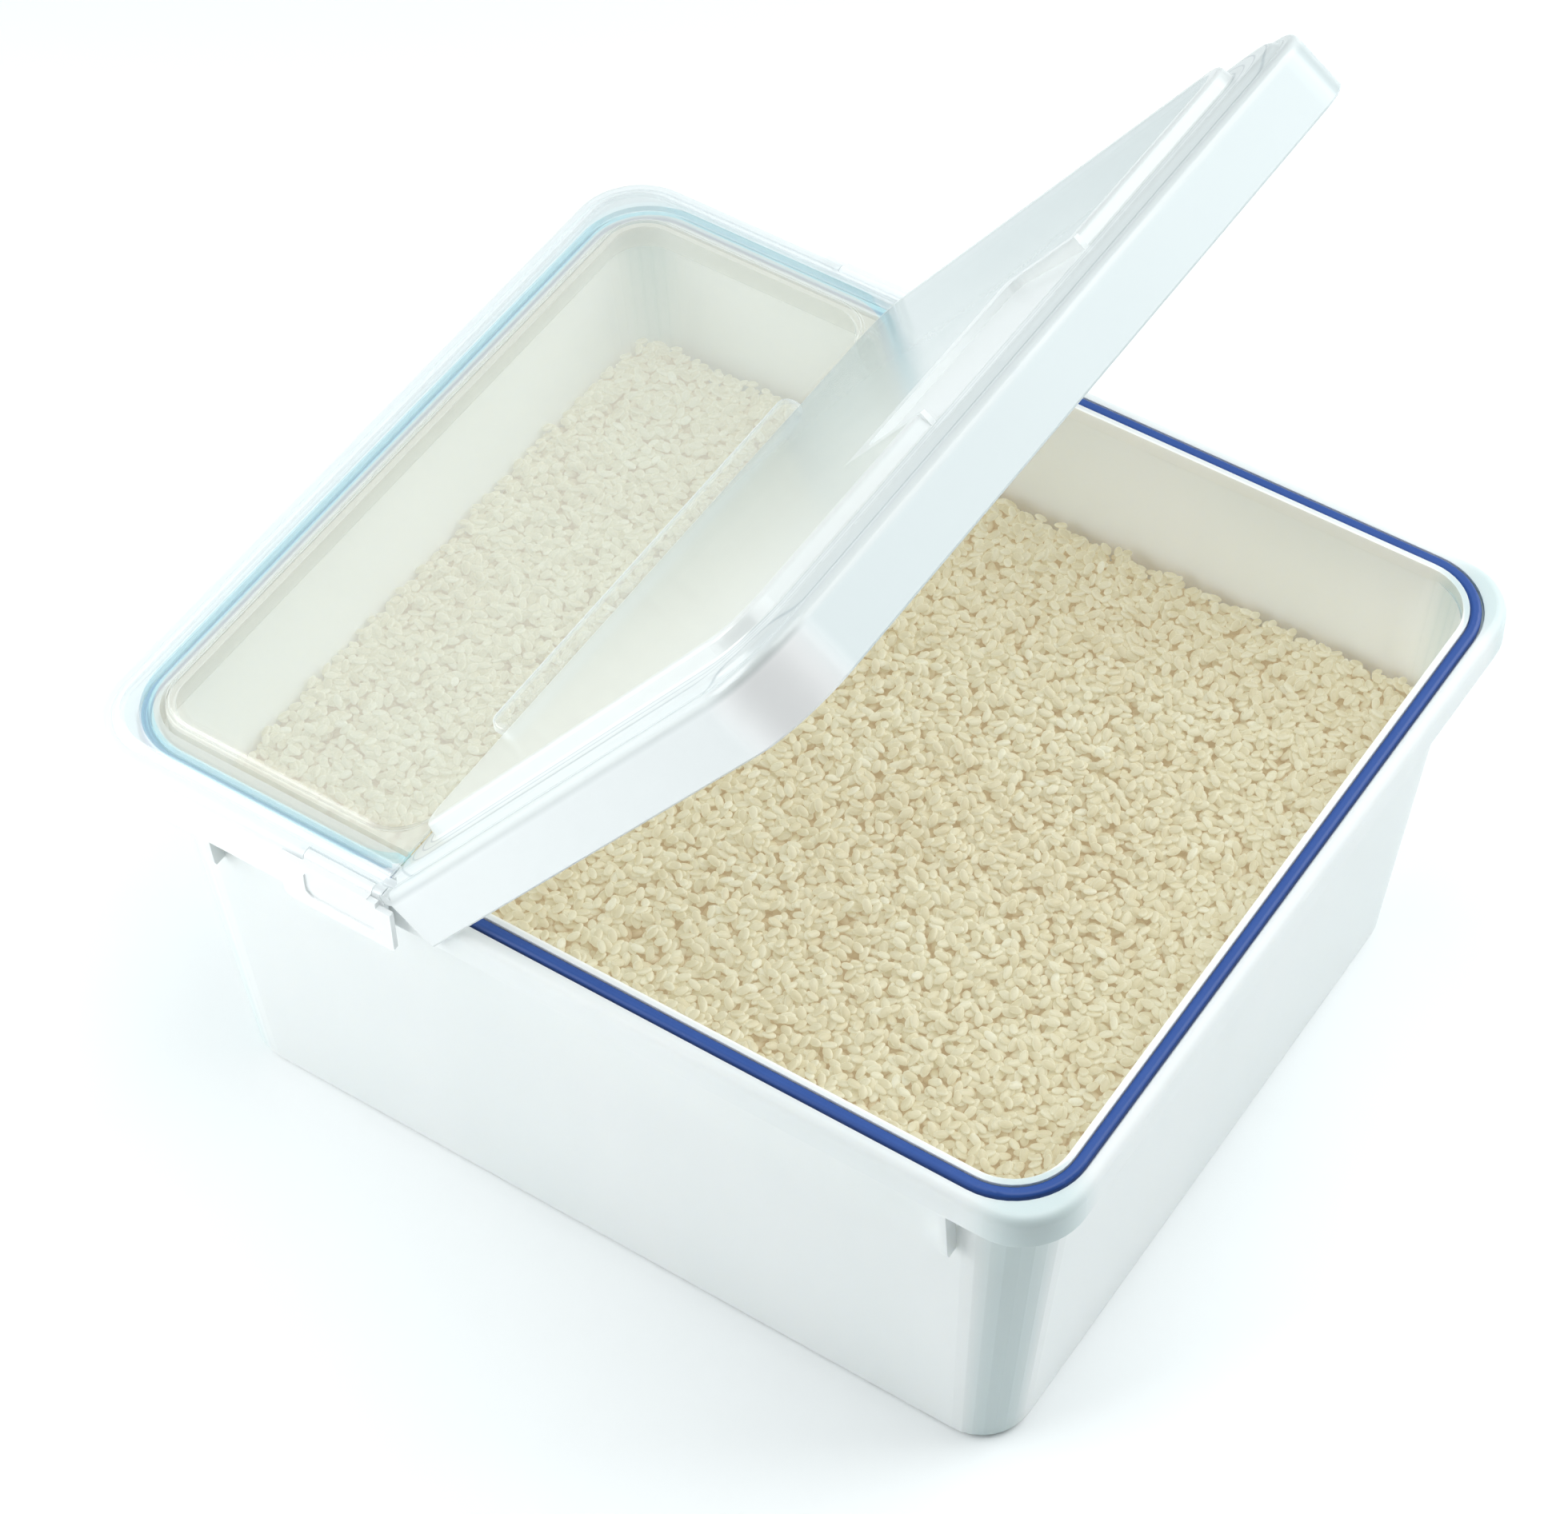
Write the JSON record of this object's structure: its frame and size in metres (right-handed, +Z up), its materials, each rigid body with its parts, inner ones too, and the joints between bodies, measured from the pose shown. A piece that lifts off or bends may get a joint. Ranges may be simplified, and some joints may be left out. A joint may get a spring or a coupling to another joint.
{
  "type": "rice storage bin",
  "caption": "Rectangular food storage bin with a blue rim seal and a clear lid in two halves: a clipped-on half and a flap that swings up.",
  "frame": {"origin": "middle of the flat base, on the table", "axes": "+X from the hinge end to the open end, +Y along the hinge to the right side as seen from the open end, +Z up"},
  "size_m": [0.359, 0.3106, 0.3606],
  "materials": {
    "white_polypropylene": "satin white moulded polypropylene",
    "blue_seal": "smooth royal blue elastomer",
    "clear_polypropylene": "translucent natural polypropylene with a faint aqua tint",
    "clear_bar": "translucent polypropylene with light edges",
    "clip_plastic": "translucent natural polypropylene",
    "pin_plastic": "natural moulded plastic"
  },
  "bodies": {
    "bin": {"tub": "white_polypropylene", "tub_gasket": "blue_seal"},
    "lid": {"fixed_lid": "clear_polypropylene", "stop_bar": "clear_bar", "hinge_pin_left": "pin_plastic", "hinge_pin_right": "pin_plastic", "clip_pin_left": "pin_plastic", "clip_pin_right": "pin_plastic"},
    "flap": {"flip_lid": "clear_polypropylene"},
    "left_clip": {"clip_left": "clip_plastic"},
    "right_clip": {"clip_right": "clip_plastic"}
  },
  "joints": [
    {"name": "lid_lift", "type": "slide", "parent": "bin", "child": "lid", "axis": [0, 0, 1], "range_m": [0, 0.06]},
    {"name": "flap_hinge", "type": "hinge", "parent": "lid", "child": "flap", "pos_m": [-0.056, 0, 0.168], "axis": [0, -1, 0], "range_deg": [-54.3, 11.5]},
    {"name": "clip_left_hinge", "type": "hinge", "parent": "lid", "child": "left_clip", "pos_m": [-0.0748, -0.1511, 0.1673], "axis": [-1, 0, 0], "range_deg": [0, 95]},
    {"name": "clip_right_hinge", "type": "hinge", "parent": "lid", "child": "right_clip", "pos_m": [-0.0748, 0.1511, 0.1673], "axis": [1, 0, 0], "range_deg": [0, 95]}
  ]
}
